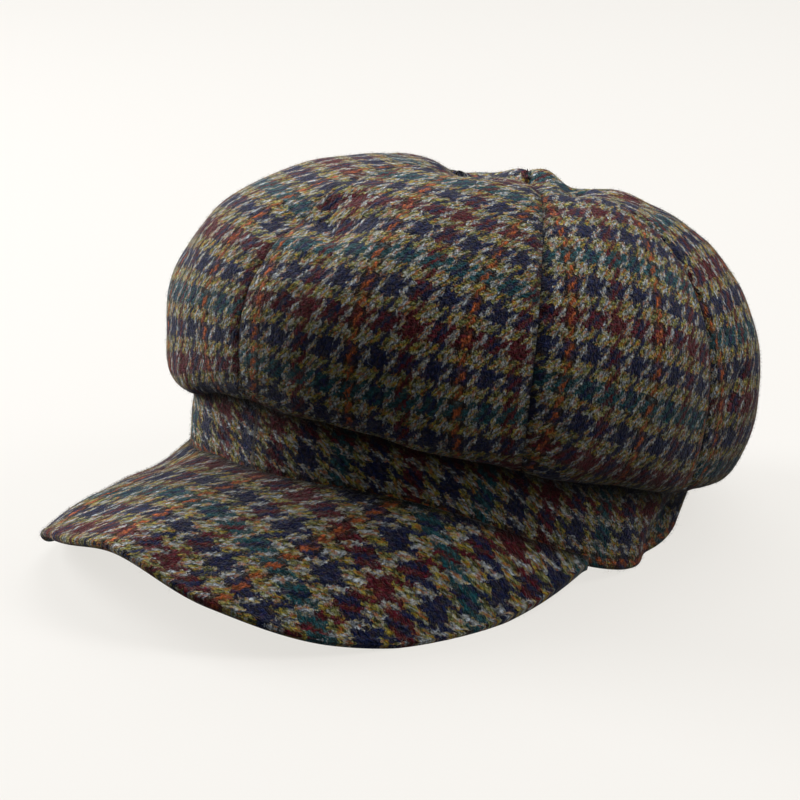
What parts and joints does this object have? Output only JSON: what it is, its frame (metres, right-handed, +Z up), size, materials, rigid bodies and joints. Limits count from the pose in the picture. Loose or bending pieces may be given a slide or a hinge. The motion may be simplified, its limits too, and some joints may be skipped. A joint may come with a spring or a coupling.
{
  "type": "baker boy cap",
  "caption": "Soft full-crowned cap: gored crown panels gathered over a fitted head band, with a curved cloth-covered peak at the front.",
  "frame": {"origin": "middle of the bounding box, at the height of the floor the cap lies on", "axes": "+Y to the back of the cap, +X to the wearer's left, +Z up as the cap lies by itself"},
  "size_m": [0.1998, 0.2898, 0.1364],
  "materials": {
    "crown_cloth": "woolly houndstooth twill",
    "band_cloth": "woolly houndstooth twill",
    "peak_cloth": "woolly houndstooth twill over a stiff board"
  },
  "bodies": {
    "root": {"crown_panel_1": "crown_cloth", "crown_panel_2": "crown_cloth", "crown_panel_3": "crown_cloth", "crown_panel_4": "crown_cloth", "crown_panel_5": "crown_cloth", "crown_panel_6": "crown_cloth", "crown_panel_7": "crown_cloth", "crown_panel_8": "crown_cloth", "band": "band_cloth", "peak": "peak_cloth"}
  },
  "joints": []
}
